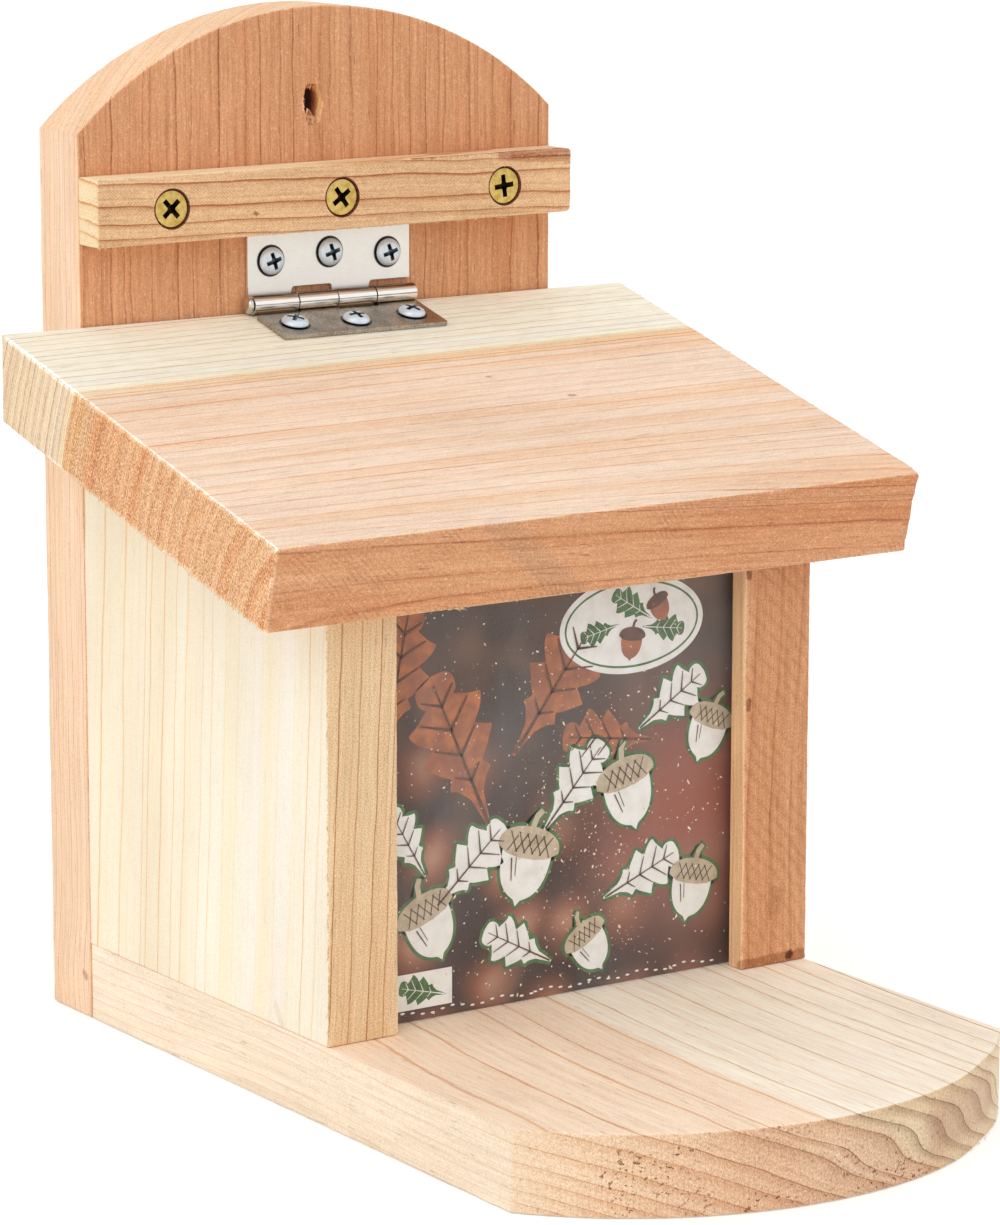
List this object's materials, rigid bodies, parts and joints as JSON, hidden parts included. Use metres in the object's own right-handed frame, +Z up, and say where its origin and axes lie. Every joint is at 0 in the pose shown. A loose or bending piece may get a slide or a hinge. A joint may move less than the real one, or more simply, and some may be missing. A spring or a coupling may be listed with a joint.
{
  "type": "squirrel feeder box",
  "caption": "Wooden feeder box on an arched back board, with a sloping hinged lid, a clear front sheet over a card and a bow-fronted feeding ledge.",
  "frame": {"origin": "middle of the footprint on the ground, which is the bottom centre of the bounding box", "axes": "+X to the right seen from the front, -Y towards the front ledge, +Y out of the back board's rear face, +Z up"},
  "size_m": [0.1912, 0.248, 0.26],
  "materials": {
    "back_timber": "sawn, salmon heartwood, fine upright grain",
    "base_timber": "sawn, pale pink to cream, grain from back to front",
    "pale_timber": "sawn, cream sapwood, upright grain",
    "side_timber": "sawn, salmon heartwood, upright grain",
    "lid_timber": "sawn, salmon heartwood with a cream sapwood strip, grain across the box",
    "batten_timber": "sawn, tan, grain along the strip",
    "clear_sheet": "clear acrylic, slightly dusty",
    "printed_card": "satin printed card",
    "hinge_steel": "nickel plated, rolled strip",
    "yellow_zinc": null,
    "bright_zinc": "bright zinc plated"
  },
  "bodies": {
    "box": {"back_board": "back_timber", "base_board": "base_timber", "side_panel_left": "pale_timber", "side_panel_right": "side_timber", "batten": "batten_timber", "window_sheet": "clear_sheet", "label_card": "printed_card", "hinge_leaf_upper": "hinge_steel", "hinge_pin": "hinge_steel", "batten_screw_1": "yellow_zinc", "batten_screw_2": "yellow_zinc", "batten_screw_3": "yellow_zinc", "back_screw_left_1": "yellow_zinc", "back_screw_left_2": "yellow_zinc", "back_screw_right_1": "yellow_zinc", "back_screw_right_2": "yellow_zinc", "foot_screw_left": "yellow_zinc", "foot_screw_right": "yellow_zinc", "base_screw_left_1": "yellow_zinc", "base_screw_left_2": "yellow_zinc", "base_screw_right_1": "yellow_zinc", "base_screw_right_2": "yellow_zinc", "hinge_screw_upper_1": "bright_zinc", "hinge_screw_upper_2": "bright_zinc", "hinge_screw_upper_3": "bright_zinc"},
    "lid": {"lid_board": "lid_timber", "hinge_leaf_lower": "hinge_steel", "hinge_screw_lower_1": "bright_zinc", "hinge_screw_lower_2": "bright_zinc", "hinge_screw_lower_3": "bright_zinc"}
  },
  "joints": [
    {"name": "lid_hinge", "type": "hinge", "parent": "box", "child": "lid", "pos_m": [0.0015, 0.1013, 0.18384], "axis": [-1, 0, 0], "range_deg": [0, 90]}
  ]
}
